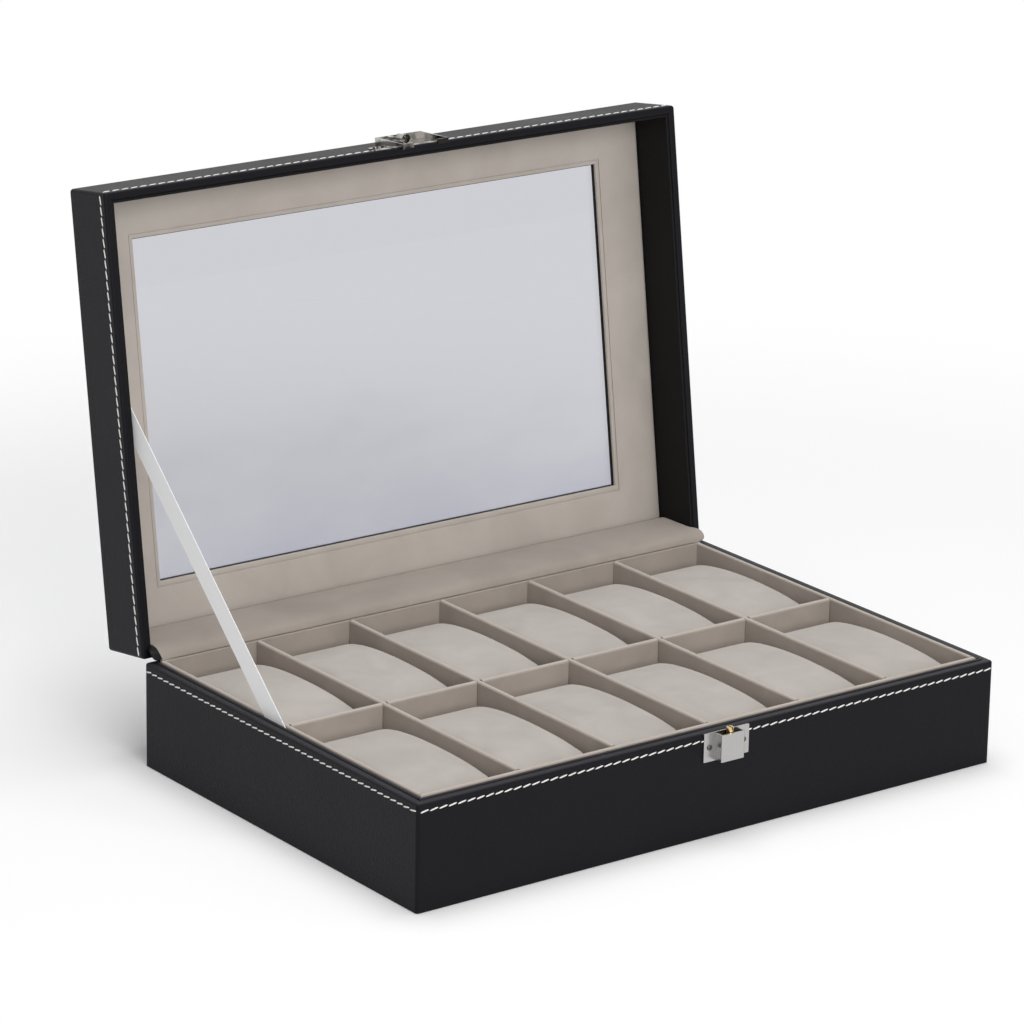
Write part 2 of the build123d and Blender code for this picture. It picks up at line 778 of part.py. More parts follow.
# Black linings inside the lid's front and side walls. The back wall has the hinge strip.
lining_rise = lid_board_top - lid_board_foot
with BuildPart() as lid_lining_front:
    with BuildSketch(lid_plane.offset(lid_board_foot)):
        with Locations((0, lid_front_y + lid_lining / 2)):
            Rectangle(2 * wall_x, lid_lining)
    extrude(amount=lining_rise)
    foot_edges = lid_lining_front.faces().sort_by(lid_up)[0].edges()
    fillet(foot_edges.filter_by(Axis.X), edge_ease)
save(lid_lining_front.part, "lid_lining_front")

for side, name in ((-1, "lid_lining_left"), (1, "lid_lining_right")):
    with BuildPart() as lid_side_lining:
        with BuildSketch(lid_plane.offset(lid_board_foot)):
            with Locations((side * (wall_x - lid_lining / 2), lid_centre_y + lid_lining / 2)):
                Rectangle(lid_lining, 2 * wall_y - lid_lining)
        extrude(amount=lining_rise)
        foot_edges = lid_side_lining.faces().sort_by(lid_up)[0].edges()
        fillet(foot_edges.filter_by(lambda edge: edge.length > wall_y), edge_ease)
    save(lid_side_lining.part, name)

# Window pane, held in the rebate by the velvet frame under it
with BuildPart() as window_pane:
    with BuildSketch(lid_plane.offset(pane_foot)):
        with Locations((0, window_y)):
            Rectangle(pane_width, pane_depth)
    extrude(amount=pane_thickness)
save(window_pane.part, "window_pane")

# Velvet frame that lines the lid's top round the window
frame_back = lid_back_y - strip_thickness - 3 * strip_gap
frame_front = lid_front_y + lid_lining
with BuildPart() as lid_liner_frame:
    with BuildSketch(lid_plane.offset(frame_face)):
        with Locations((0, (frame_front + frame_back) / 2)):
            Rectangle(2 * (wall_x - lid_lining), frame_back - frame_front)
        with Locations((0, window_y)):
            Rectangle(window_width, window_depth, mode=Mode.SUBTRACT)
    extrude(amount=frame_thickness)
    face = lid_liner_frame.faces().sort_by(lid_up)[0]
    fillet(face.outer_wire().edges(), frame_ease)
    face = lid_liner_frame.faces().sort_by(lid_up)[0]
    fillet(face.inner_wires()[0].edges(), edge_ease)
save(lid_liner_frame.part, "lid_liner_frame")

# --- Hasp: a pressed cap that reaches down over the lock, and a tube for the barrel's nose ---

hasp_side_plane = Plane(origin=hasp_face.origin, x_dir=hasp_face.y_dir, z_dir=(1, 0, 0))
cap_side = hasp_cap_width / 2
with BuildPart() as hasp_plate:
    with BuildSketch(hasp_face):
        with Locations((0, hasp_screw_z)):
            RectangleRounded(hasp_wing_width, hasp_end - hasp_start, 2 * edge_ease)
    extrude(amount=hasp_metal)
    # Side walls: on the lid they stand on the plate, and beyond its rim they clear the lock
    for wall_start in (-cap_side, cap_side - hasp_metal):
        with BuildSketch(hasp_side_plane.offset(wall_start)):
            with BuildLine():
                Polyline(
                    (hasp_end, 0),
                    (hasp_end, hasp_far_rise),
                    (hasp_tip, hasp_near_rise),
                    (hasp_tip, hasp_wall_clearance),
                    (hasp_start, hasp_wall_clearance),
                    (hasp_start, 0),
                    close=True,
                )
            make_face()
        extrude(amount=hasp_metal)
    with BuildSketch(hasp_face):
        with Locations((0, hasp_end - hasp_metal / 2)):
            Rectangle(hasp_cap_width, hasp_metal)
    extrude(amount=hasp_far_rise)
    # The near wall is two lugs, one on each side of the lock's housing
    with BuildSketch(hasp_face.offset(hasp_lug_clearance)):
        with Locations((0, hasp_tip + hasp_metal / 2)):
            Rectangle(hasp_cap_width, hasp_metal)
            Rectangle(hasp_notch, hasp_metal, mode=Mode.SUBTRACT)
    extrude(amount=hasp_near_rise - hasp_lug_clearance)
    with Locations(hasp_face.offset(hasp_metal)):
        with Locations(*hasp_screw_points):
            Hole(screw_shank, depth=hasp_metal)
save(hasp_plate.part, "hasp_plate")

tube_plane = Plane(
    origin=lid_point(lock_x, -outer_y - hinge_y - tube_height, hasp_start),
    x_dir=(1, 0, 0),
    z_dir=lid_plane.z_dir,
)
with BuildPart() as hasp_tube:
    with BuildSketch(tube_plane):
        Circle(tube_radius)
        Circle(tube_bore, mode=Mode.SUBTRACT)
    extrude(amount=hasp_end - hasp_metal - hasp_start)
save(hasp_tube.part, "hasp_tube")

save(round_head_screws(hasp_face, hasp_screw_points, hasp_metal), "hasp_screws")
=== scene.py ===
import json
import math
import random

import bpy
import numpy as np
from mathutils import Matrix, Vector


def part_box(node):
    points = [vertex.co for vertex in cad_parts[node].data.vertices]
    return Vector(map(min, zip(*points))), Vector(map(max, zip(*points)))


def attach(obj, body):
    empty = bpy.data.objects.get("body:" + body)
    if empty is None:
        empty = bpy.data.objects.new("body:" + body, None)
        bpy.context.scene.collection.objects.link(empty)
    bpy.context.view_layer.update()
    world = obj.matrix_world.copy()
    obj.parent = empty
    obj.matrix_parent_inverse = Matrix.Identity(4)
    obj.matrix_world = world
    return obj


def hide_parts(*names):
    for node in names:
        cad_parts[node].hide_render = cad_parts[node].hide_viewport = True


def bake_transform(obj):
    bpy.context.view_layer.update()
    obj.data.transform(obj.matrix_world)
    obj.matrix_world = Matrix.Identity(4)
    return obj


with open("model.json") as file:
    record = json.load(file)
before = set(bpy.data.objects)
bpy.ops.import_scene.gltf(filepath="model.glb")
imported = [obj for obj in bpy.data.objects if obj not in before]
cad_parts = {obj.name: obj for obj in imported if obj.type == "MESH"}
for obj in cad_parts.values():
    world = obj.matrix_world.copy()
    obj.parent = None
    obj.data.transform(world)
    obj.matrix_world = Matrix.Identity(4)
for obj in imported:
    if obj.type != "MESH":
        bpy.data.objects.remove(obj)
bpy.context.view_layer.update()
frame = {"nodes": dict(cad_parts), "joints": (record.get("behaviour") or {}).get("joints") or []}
nodes = frame["nodes"]

# Camera: a long lens from the front left, a little above the open box and tilted by a degree.
# It looks at a point near the middle of the window's lower edge.
camera_turn = -0.6429
camera_rise = 0.3114
camera_roll = 0.0175
camera_distance = 1.9935
camera_target = Vector((-0.0326, 0.0, 0.1182))
camera_back = Vector((
    math.sin(camera_turn) * math.cos(camera_rise),
    -math.cos(camera_turn) * math.cos(camera_rise),
    math.sin(camera_rise),
))
camera_right = Vector((math.cos(camera_turn), math.sin(camera_turn), 0.0))
camera_up = camera_back.cross(camera_right)
tilted_right = camera_right * math.cos(camera_roll) + camera_up * math.sin(camera_roll)
tilted_up = camera_up * math.cos(camera_roll) - camera_right * math.sin(camera_roll)
camera_data = bpy.data.cameras.new("camera")
camera_data.sensor_width = 36.0
camera_data.lens = 169.26
camera_data.clip_end = 30.0
camera = bpy.data.objects.new("camera", camera_data)
bpy.context.scene.collection.objects.link(camera)
camera.matrix_world = Matrix.Translation(camera_target + camera_back * camera_distance) @ (
    Matrix((tilted_right, tilted_up, camera_back)).transposed().to_4x4()
)
bpy.context.scene.camera = camera
bpy.context.scene.view_settings.view_transform = "Standard"

# Floor and light: a plain pale floor, wide soft lamps over the front and a pale surround. The
# floor keeps its shade round the box and turns plain white further off. Camera, mirror and
# glass rays meet the surround at full white; the object is lit by less of it.


def add_node(tree, kind, **settings):
    """One shader node with its settings made."""
    made = tree.nodes.new(kind)
    for key, value in settings.items():
        setattr(made, key, value)
    return made


def plainly_seen(tree):
    """A value of one for camera, mirror and glass rays, and of zero for all others."""
    path = tree.nodes.new("ShaderNodeLightPath")
    direct = add_node(tree, "ShaderNodeMath", operation="MAXIMUM")
    seen = add_node(tree, "ShaderNodeMath", operation="MAXIMUM")
    tree.links.new(path.outputs["Is Camera Ray"], direct.inputs[0])
    tree.links.new(path.outputs["Is Glossy Ray"], direct.inputs[1])
    tree.links.new(direct.outputs[0], seen.inputs[0])
    tree.links.new(path.outputs["Is Transmission Ray"], seen.inputs[1])
    return seen.outputs[0]


floor_reach = 6.0
floor_gap = 0.0003
floor_shaded = 0.35
floor_plain = 0.75
floor_near_lift = 0.14
surround_level = 0.34
bpy.ops.mesh.primitive_plane_add(size=2 * floor_reach, location=(0, 0, -floor_gap))
floor = bpy.context.object
floor.name = "floor"
floor_finish = bpy.data.materials.new("floor_paper")
floor_finish.use_nodes = True
floor_tree = floor_finish.node_tree
floor_tree.nodes.clear()
floor_output = floor_tree.nodes.new("ShaderNodeOutputMaterial")
floor_diffuse = floor_tree.nodes.new("ShaderNodeBsdfDiffuse")
floor_diffuse.inputs["Color"].default_value = (0.9, 0.9, 0.9, 1)
floor_lift = floor_tree.nodes.new("ShaderNodeEmission")
floor_white = floor_tree.nodes.new("ShaderNodeEmission")
floor_sum = floor_tree.nodes.new("ShaderNodeAddShader")
floor_mix = floor_tree.nodes.new("ShaderNodeMixShader")
floor_seen = plainly_seen(floor_tree)
floor_amount = add_node(floor_tree, "ShaderNodeMath", operation="MULTIPLY")
floor_amount.inputs[1].default_value = floor_near_lift
floor_place = floor_tree.nodes.new("ShaderNodeTexCoord")
floor_distance = add_node(floor_tree, "ShaderNodeVectorMath", operation="LENGTH")
floor_far = add_node(floor_tree, "ShaderNodeMapRange", interpolation_type="SMOOTHSTEP")
floor_far.inputs["From Min"].default_value = floor_shaded
floor_far.inputs["From Max"].default_value = floor_plain
floor_share = add_node(floor_tree, "ShaderNodeMath", operation="MULTIPLY")
floor_tree.links.new(floor_seen, floor_amount.inputs[0])
floor_tree.links.new(floor_amount.outputs[0], floor_lift.inputs["Strength"])
floor_tree.links.new(floor_place.outputs["Object"], floor_distance.inputs[0])
floor_tree.links.new(floor_distance.outputs["Value"], floor_far.inputs["Value"])
floor_tree.links.new(floor_far.outputs["Result"], floor_share.inputs[0])
floor_tree.links.new(floor_seen, floor_share.inputs[1])
floor_tree.links.new(floor_diffuse.outputs[0], floor_sum.inputs[0])
floor_tree.links.new(floor_lift.outputs[0], floor_sum.inputs[1])
floor_tree.links.new(floor_share.outputs[0], floor_mix.inputs["Fac"])
floor_tree.links.new(floor_sum.outputs[0], floor_mix.inputs[1])
floor_tree.links.new(floor_white.outputs[0], floor_mix.inputs[2])
floor_tree.links.new(floor_mix.outputs[0], floor_output.inputs["Surface"])
floor.data.materials.append(floor_finish)

world = bpy.data.worlds.new("studio")
bpy.context.scene.world = world
world.use_nodes = True
world_tree = world.node_tree
world_tree.nodes.clear()
world_output = world_tree.nodes.new("ShaderNodeOutputWorld")
world_surround = world_tree.nodes.new("ShaderNodeBackground")
world_level = world_tree.nodes.new("ShaderNodeMapRange")
world_level.inputs["To Min"].default_value = surround_level
world_level.inputs["To Max"].default_value = 1.0
world_tree.links.new(plainly_seen(world_tree), world_level.inputs["Value"])
world_tree.links.new(world_level.outputs["Result"], world_surround.inputs["Strength"])
world_tree.links.new(world_surround.outputs[0], world_output.inputs["Surface"])


def soft_lamp(name, place, aim, size, power):
    """A square area lamp that faces a point."""
    data = bpy.data.lights.new(name, "AREA")
    data.size = size
    data.energy = power
    lamp = bpy.data.objects.new(name, data)
    bpy.context.scene.collection.objects.link(lamp)
    lamp.location = place
    lamp.rotation_euler = (Vector(aim) - Vector(place)).to_track_quat("-Z", "Y").to_euler()
    return lamp


soft_lamp("front_lamp", (-0.5, -1.9, 0.95), (0, 0, 0.1), 1.3, 25.0)
soft_lamp("top_lamp", (0.1, 0.1, 1.9), (0, 0, 0.05), 1.2, 20.0)

# Wooden carcass: raw fibreboard of the base and of the lid. It is glued up, then covered, so
# it shows only at the edges that the leather leaves free.


def new_finish(name, colour, roughness, metallic=0.0):
    """A material with its Principled shader, and the shader and tree to build on."""
    finish = bpy.data.materials.new(name)
    finish.use_nodes = True
    shader = finish.node_tree.nodes["Principled BSDF"]
    shader.inputs["Base Color"].default_value = (*colour, 1)
    shader.inputs["Roughness"].default_value = roughness
    shader.inputs["Metallic"].default_value = metallic
    return finish, shader, finish.node_tree


def new_group(name, inputs, outputs):
    """A shader node group with float or colour sockets, and its two end nodes."""
    tree = bpy.data.node_groups.new(name, "ShaderNodeTree")
    for socket, kind, value in inputs:
        made = tree.interface.new_socket(socket, in_out="INPUT", socket_type=kind)
        made.default_value = value
    for socket, kind in outputs:
        tree.interface.new_socket(socket, in_out="OUTPUT", socket_type=kind)
    return tree, tree.nodes.new("NodeGroupInput"), tree.nodes.new("NodeGroupOutput")


def object_pattern(tree, kind, scale, stretch=(1, 1, 1), **settings):
    """A texture on Object coordinates, stretched along the box's own directions."""
    place = tree.nodes.new("ShaderNodeTexCoord")
    mapping = tree.nodes.new("ShaderNodeMapping")
    mapping.inputs["Scale"].default_value = stretch
    texture = add_node(tree, kind, **settings)
    texture.inputs["Scale"].default_value = scale
    tree.links.new(place.outputs["Object"], mapping.inputs["Vector"])
    tree.links.new(mapping.outputs["Vector"], texture.inputs["Vector"])
    return texture


def set_finish(finish, *names):
    """Put a finish on CAD nodes, in place of the plain one they come with."""
    for name in names:
        nodes[name].data.materials.clear()
        nodes[name].data.materials.append(finish)


fibreboard, fibre_shader, fibre_tree = new_finish("fibreboard", (0.36, 0.25, 0.15), 0.85)
fibre_noise = object_pattern(fibre_tree, "ShaderNodeTexNoise", 900, (1, 1, 0.4))
fibre_tone = add_node(fibre_tree, "ShaderNodeMix", data_type="RGBA")
fibre_tone.inputs["A"].default_value = (0.26, 0.17, 0.10, 1)
fibre_tone.inputs["B"].default_value = (0.46, 0.33, 0.21, 1)
fibre_tree.links.new(fibre_noise.outputs["Fac"], fibre_tone.inputs["Factor"])
fibre_tree.links.new(fibre_tone.outputs["Result"], fibre_shader.inputs["Base Color"])
set_finish(
    fibreboard,
    "base_front_board", "base_back_board", "base_left_board", "base_right_board",
    "base_floor_board", "lid_front_board", "lid_back_board", "lid_left_board",
    "lid_right_board", "lid_top_frame",
)

# Leather: one black imitation leather skin on the base and one on the lid, glued over the
# boards and turned in at the rims. It has a fine pebbled grain.
grain, grain_in, grain_out = new_group(
    "leather_grain",
    [("Pebble", "NodeSocketFloat", 900.0), ("Depth", "NodeSocketFloat", 1.0)],
    [("Height", "NodeSocketFloat"), ("Tone", "NodeSocketFloat")],
)
grain_place = grain.nodes.new("ShaderNodeTexCoord")
grain_cells = add_node(grain, "ShaderNodeTexVoronoi", feature="DISTANCE_TO_EDGE")
grain_warp = grain.nodes.new("ShaderNodeTexNoise")
grain_warp.inputs["Scale"].default_value = 420.0
grain_shift = add_node(grain, "ShaderNodeVectorMath", operation="MULTIPLY_ADD")
grain_shift.inputs[1].default_value = (0.0006, 0.0006, 0.0006)
grain_step = grain.nodes.new("ShaderNodeMapRange")
grain_step.inputs["From Max"].default_value = 0.22
grain_broad = grain.nodes.new("ShaderNodeTexNoise")
grain_broad.inputs["Scale"].default_value = 22.0
grain_broad.inputs["Detail"].default_value = 3.0
grain_scaled = add_node(grain, "ShaderNodeMath", operation="MULTIPLY")
grain.links.new(grain_place.outputs["Object"], grain_warp.inputs["Vector"])
grain.links.new(grain_warp.outputs["Color"], grain_shift.inputs[0])
grain.links.new(grain_place.outputs["Object"], grain_shift.inputs[2])
grain.links.new(grain_shift.outputs["Vector"], grain_cells.inputs["Vector"])
grain.links.new(grain_in.outputs["Pebble"], grain_cells.inputs["Scale"])
grain.links.new(grain_cells.outputs["Distance"], grain_step.inputs["Value"])
grain.links.new(grain_step.outputs["Result"], grain_scaled.inputs[0])
grain.links.new(grain_in.outputs["Depth"], grain_scaled.inputs[1])
grain.links.new(grain_scaled.outputs[0], grain_out.inputs["Height"])
grain.links.new(grain_place.outputs["Object"], grain_broad.inputs["Vector"])
grain.links.new(grain_broad.outputs["Fac"], grain_out.inputs["Tone"])


def leather_finish(name, low, high, roughness, bump, painted_highlight):
    """Black leather: grain from the shared group, an uneven tone and a painted highlight on faces
    that look up.
    """
    finish, shader, tree = new_finish(name, low, roughness)
    shader.inputs["Specular IOR Level"].default_value = 0.10
    pebble = add_node(tree, "ShaderNodeGroup", node_tree=grain)
    tone = add_node(tree, "ShaderNodeMix", data_type="RGBA")
    tone.inputs["A"].default_value = (*low, 1)
    tone.inputs["B"].default_value = (*high, 1)
    rough = tree.nodes.new("ShaderNodeMapRange")
    rough.inputs["To Min"].default_value = roughness - 0.06
    rough.inputs["To Max"].default_value = roughness + 0.08
    relief = tree.nodes.new("ShaderNodeBump")
    relief.inputs["Strength"].default_value = bump
    relief.inputs["Distance"].default_value = 0.00012
    # Faces that look up get a painted highlight, set paler as if lit from above, so the base's
    # rim is paler than its walls, which share this skin
    place = tree.nodes.new("ShaderNodeTexCoord")
    parts = tree.nodes.new("ShaderNodeSeparateXYZ")
    painted_highlight_mask = tree.nodes.new("ShaderNodeMapRange")
    painted_highlight_mask.inputs["From Min"].default_value = 0.35
    painted_highlight_mask.inputs["From Max"].default_value = 0.95
    painted_highlight_mask.inputs["To Max"].default_value = painted_highlight
    # Painted highlight: a paler colour mixed in on faces that look up
    painted_highlight_tone = add_node(tree, "ShaderNodeMix", data_type="RGBA")
    painted_highlight_tone.inputs["B"].default_value = (0.030, 0.029, 0.034, 1)
    tree.links.new(place.outputs["Normal"], parts.inputs["Vector"])
    tree.links.new(parts.outputs["Z"], painted_highlight_mask.inputs["Value"])
    tree.links.new(painted_highlight_mask.outputs["Result"], painted_highlight_tone.inputs["Factor"])
    tree.links.new(pebble.outputs["Tone"], tone.inputs["Factor"])
    tree.links.new(tone.outputs["Result"], painted_highlight_tone.inputs["A"])
    tree.links.new(painted_highlight_tone.outputs["Result"], shader.inputs["Base Color"])
    tree.links.new(pebble.outputs["Tone"], rough.inputs["Value"])
    tree.links.new(rough.outputs["Result"], shader.inputs["Roughness"])
    tree.links.new(pebble.outputs["Height"], relief.inputs["Height"])
    tree.links.new(relief.outputs["Normal"], shader.inputs["Normal"])
    return finish


skin_low, skin_high = (0.0050, 0.0050, 0.0070), (0.0091, 0.0090, 0.0124)
# The base's skin gets the painted highlight on faces that look up; the lid's gets none
base_skin = leather_finish("base_skin_leather", skin_low, skin_high, 0.40, 0.45, 1.0)
set_finish(base_skin, "base_leather")
lid_skin = leather_finish("lid_skin_leather", skin_low, skin_high, 0.40, 0.45, 0.0)
set_finish(lid_skin, "lid_leather")

# Underside cloth: thin black flocked cloth glued over the bottom.
underside_cloth, underside_shader, underside_tree = new_finish(
    "underside_cloth", (0.012, 0.012, 0.013), 0.95
)
underside_shader.inputs["Sheen Weight"].default_value = 0.15
underside_fuzz = object_pattern(underside_tree, "ShaderNodeTexNoise", 2600)
underside_relief = underside_tree.nodes.new("ShaderNodeBump")
underside_relief.inputs["Strength"].default_value = 0.5
underside_relief.inputs["Distance"].default_value = 0.0002
underside_tree.links.new(underside_fuzz.outputs["Fac"], underside_relief.inputs["Height"])
underside_tree.links.new(underside_relief.outputs["Normal"], underside_shader.inputs["Normal"])
set_finish(underside_cloth, "bottom_cloth")

# Black inner bands: card covered with a smoother black leather, standing inside both rims.
band_low, band_high = (0.0065, 0.0062, 0.0066), (0.0105, 0.010, 0.0105)
band_leather = leather_finish("band_leather", band_low, band_high, 0.38, 0.2, 0.0)
set_finish(band_leather, "lid_lining_front", "lid_lining_left", "lid_lining_right")
# The base's bands get the painted highlight on their tops; the lid's bands get none
base_band = leather_finish("base_band_leather", band_low, band_high, 0.38, 0.2, 1.0)
set_finish(base_band, "base_lining_front", "base_lining_left", "base_lining_right")

# Velvet liners and dividers: card wrapped in beige short-pile velvet. The pile
# lies unevenly, so it is a little lighter and darker in broad brushed patches.
pile, pile_in, pile_out = new_group(
    "velvet_pile",
    [("Patch", "NodeSocketFloat", 38.0), ("Fuzz", "NodeSocketFloat", 3200.0)],
    [("Brushed", "NodeSocketFloat"), ("Height", "NodeSocketFloat")],
)
pile_place = pile.nodes.new("ShaderNodeTexCoord")
pile_broad = pile.nodes.new("ShaderNodeTexNoise")
pile_broad.inputs["Detail"].default_value = 4.0
pile_broad.inputs["Distortion"].default_value = 0.6
pile_fine = pile.nodes.new("ShaderNodeTexNoise")
pile_fine.inputs["Detail"].default_value = 2.0
pile_sum = add_node(pile, "ShaderNodeMath", operation="MULTIPLY_ADD")
pile_sum.inputs[1].default_value = 0.35
pile_spread = pile.nodes.new("ShaderNodeMapRange")
pile_spread.inputs["From Min"].default_value = 0.35
pile_spread.inputs["From Max"].default_value = 1.0
pile.links.new(pile_place.outputs["Object"], pile_broad.inputs["Vector"])
pile.links.new(pile_in.outputs["Patch"], pile_broad.inputs["Scale"])
pile.links.new(pile_place.outputs["Object"], pile_fine.inputs["Vector"])
pile.links.new(pile_in.outputs["Fuzz"], pile_fine.inputs["Scale"])
pile.links.new(pile_fine.outputs["Fac"], pile_sum.inputs[0])
pile.links.new(pile_broad.outputs["Fac"], pile_sum.inputs[2])
pile.links.new(pile_sum.outputs[0], pile_spread.inputs["Value"])
pile.links.new(pile_spread.outputs["Result"], pile_out.inputs["Brushed"])
pile.links.new(pile_fine.outputs["Fac"], pile_out.inputs["Height"])


def velvet_finish(name, dark, light, patch):
    """Beige velvet: patchy tone from the shared pile group, with a soft sheen."""
    finish, shader, tree = new_finish(name, light, 0.92)
    shader.inputs["Specular IOR Level"].default_value = 0.15
    shader.inputs["Sheen Weight"].default_value = 0.22
    shader.inputs["Sheen Roughness"].default_value = 0.45
    shader.inputs["Sheen Tint"].default_value = (1.0, 0.96, 0.92, 1)
    nap = add_node(tree, "ShaderNodeGroup", node_tree=pile)
    nap.inputs["Patch"].default_value = patch
    tone = add_node(tree, "ShaderNodeMix", data_type="RGBA")
    tone.inputs["A"].default_value = (*dark, 1)
    tone.inputs["B"].default_value = (*light, 1)
    relief = tree.nodes.new("ShaderNodeBump")
    relief.inputs["Strength"].default_value = 0.35
    relief.inputs["Distance"].default_value = 0.00015
    tree.links.new(nap.outputs["Brushed"], tone.inputs["Factor"])
    tree.links.new(tone.outputs["Result"], shader.inputs["Base Color"])
    tree.links.new(nap.outputs["Height"], relief.inputs["Height"])
    tree.links.new(relief.outputs["Normal"], shader.inputs["Normal"])
    return finish


liner_velvet = velvet_finish("liner_velvet", (0.44, 0.395, 0.355), (0.55, 0.50, 0.455), 38.0)
# The base's liners and dividers take a darker copy of the window frame's velvet: painted shade
# for the cells, which stand in shade inside the box
base_velvet_painted_shade = velvet_finish("base_velvet_painted_shade", (0.345, 0.301, 0.264), (0.435, 0.383, 0.338), 44.0)
# The liners' and dividers' upper edges get a painted highlight: faces that look up are set a
# little paler than their walls, as if lit from above
velvet_tree = base_velvet_painted_shade.node_tree
velvet_colour = velvet_tree.nodes["Principled BSDF"].inputs["Base Color"]
wall_tone = velvet_colour.links[0].from_socket
facing = velvet_tree.nodes.new("ShaderNodeTexCoord")
facing_parts = velvet_tree.nodes.new("ShaderNodeSeparateXYZ")
painted_highlight_mask = velvet_tree.nodes.new("ShaderNodeMapRange")
painted_highlight_mask.inputs["From Min"].default_value = 0.55
painted_highlight_mask.inputs["From Max"].default_value = 0.95
painted_edge_highlight = add_node(velvet_tree, "ShaderNodeMix", data_type="RGBA")
painted_edge_highlight.inputs["B"].default_value = (0.50, 0.45, 0.40, 1)
velvet_tree.links.new(facing.outputs["Normal"], facing_parts.inputs["Vector"])
velvet_tree.links.new(facing_parts.outputs["Z"], painted_highlight_mask.inputs["Value"])
velvet_tree.links.new(painted_highlight_mask.outputs["Result"], painted_edge_highlight.inputs["Factor"])
velvet_tree.links.new(wall_tone, painted_edge_highlight.inputs["A"])
velvet_tree.links.new(painted_edge_highlight.outputs["Result"], velvet_colour)
set_finish(
    base_velvet_painted_shade,
    "liner_front", "liner_back", "liner_left", "liner_right", "liner_floor", "long_divider",
    "cross_divider_1", "cross_divider_2", "cross_divider_3", "cross_divider_4",
    "cross_divider_5",
)

# Watch pillows: foam blocks wrapped in the same velvet, one loose in each cell. One is filled
# by a cloth simulation, and the others are copies of it, turned about and set in their cells.
pillow_velvet = velvet_finish("pillow_velvet", (0.43, 0.395, 0.365), (0.53, 0.49, 0.46), 55.0)
pillow_voxel = 0.004
pillow_swell = 0.004
pillow_pull = 0.965
pillow_sink = 0.0002
filling_steps = 20


def deselect_all():
    """Nothing selected, in object mode."""
    if bpy.context.object and bpy.context.object.mode != "OBJECT":
        bpy.ops.object.mode_set(mode="OBJECT")
    bpy.ops.object.select_all(action="DESELECT")


def make_active(piece):
    """Only this piece selected and active."""
    deselect_all()
    piece.select_set(True)
    bpy.context.view_layer.objects.active = piece


def apply_modifiers(piece):
    """Apply every modifier on the piece, in order."""
    make_active(piece)
    for modifier in list(piece.modifiers):
        bpy.ops.object.modifier_apply(modifier=modifier.name)


def vertex_array(piece):
    """The piece's vertices as rows of x, y, z."""
    flat = np.empty(len(piece.data.vertices) * 3, np.float64)
    piece.data.vertices.foreach_get("co", flat)
    return flat.reshape(-1, 3)


def set_vertices(piece, rows):
    """Write rows of x, y, z back to the piece."""
    piece.data.vertices.foreach_set("co", np.asarray(rows, np.float32).reshape(-1))
    piece.data.update()


pillow_low, pillow_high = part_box("pillow_1")
pillow_middle = (pillow_low + pillow_high) / 2
template = bpy.data.objects.new("pillow_template", nodes["pillow_1"].data.copy())
bpy.context.scene.collection.objects.link(template)
template.data.materials.clear()
template.data.materials.append(pillow_velvet)
make_active(template)
bpy.ops.object.mode_set(mode="EDIT")
bpy.ops.mesh.select_all(action="SELECT")
bpy.ops.mesh.remove_doubles(threshold=0.00005)
bpy.ops.object.mode_set(mode="OBJECT")
start_rows = vertex_array(template)
centre = np.array(pillow_middle)
set_vertices(template, centre + (start_rows - centre) * pillow_pull)
remesh = template.modifiers.new("even_mesh", "REMESH")
remesh.mode = "VOXEL"
remesh.voxel_size = pillow_voxel
apply_modifiers(template)
before_filling = vertex_array(template)
filling = template.modifiers.new("filling", "CLOTH")
filling.settings.use_pressure = True
filling.settings.uniform_pressure_force = 4.0
filling.settings.effector_weights.gravity = 0.0
filling.settings.quality = 6
scene = bpy.context.scene
for step in range(1, filling_steps + 1):
    scene.frame_set(step)
apply_modifiers(template)
scene.frame_set(1)
filled = vertex_array(template)
travel = filled - before_filling
reach = np.linalg.norm(travel, axis=1, keepdims=True)
capped = travel * np.minimum(1.0, pillow_swell / np.maximum(reach, 1e-9))
set_vertices(template, before_filling + capped)
rounding = template.modifiers.new("rounding", "SUBSURF")
rounding.levels = 1
rounding.render_levels = 1
apply_modifiers(template)
# Fit the filled block back into its cell: no wider or longer than the CAD pillow
pillow_rows = vertex_array(template) - centre
pillow_room = np.array([0.0221, 0.0442, 0.0])
for direction in (0, 1):
    half = np.abs(pillow_rows[:, direction]).max()
    pillow_rows[:, direction] *= pillow_room[direction] / half
foot = pillow_low.z - pillow_middle.z - pillow_sink
pillow_rows[:, 2] = np.maximum(pillow_rows[:, 2], foot)
crown = pillow_rows[:, 2].max()
pillow_rows[:, 2] *= np.where(pillow_rows[:, 2] > 0, (pillow_high.z - pillow_middle.z) / crown, 1)
set_vertices(template, pillow_rows)
make_active(template)
bpy.ops.object.shade_smooth()
draw = random.Random(7)
for number in range(1, 13):
    name = f"pillow_{number}"
    low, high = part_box(name)
    middle = (low + high) / 2
    cushion = bpy.data.objects.new(f"velvet_{name}", template.data.copy())
    bpy.context.scene.collection.objects.link(cushion)
    turn = Matrix.Rotation(math.pi * draw.randrange(2), 4, "Z")
    settle = Vector((draw.uniform(-0.0002, 0.0002), draw.uniform(-0.0003, 0.0003), 0))
    cushion.data.transform(Matrix.Translation(middle + settle) @ turn)
    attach(cushion, name)
    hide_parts(name)
bpy.data.objects.remove(template)

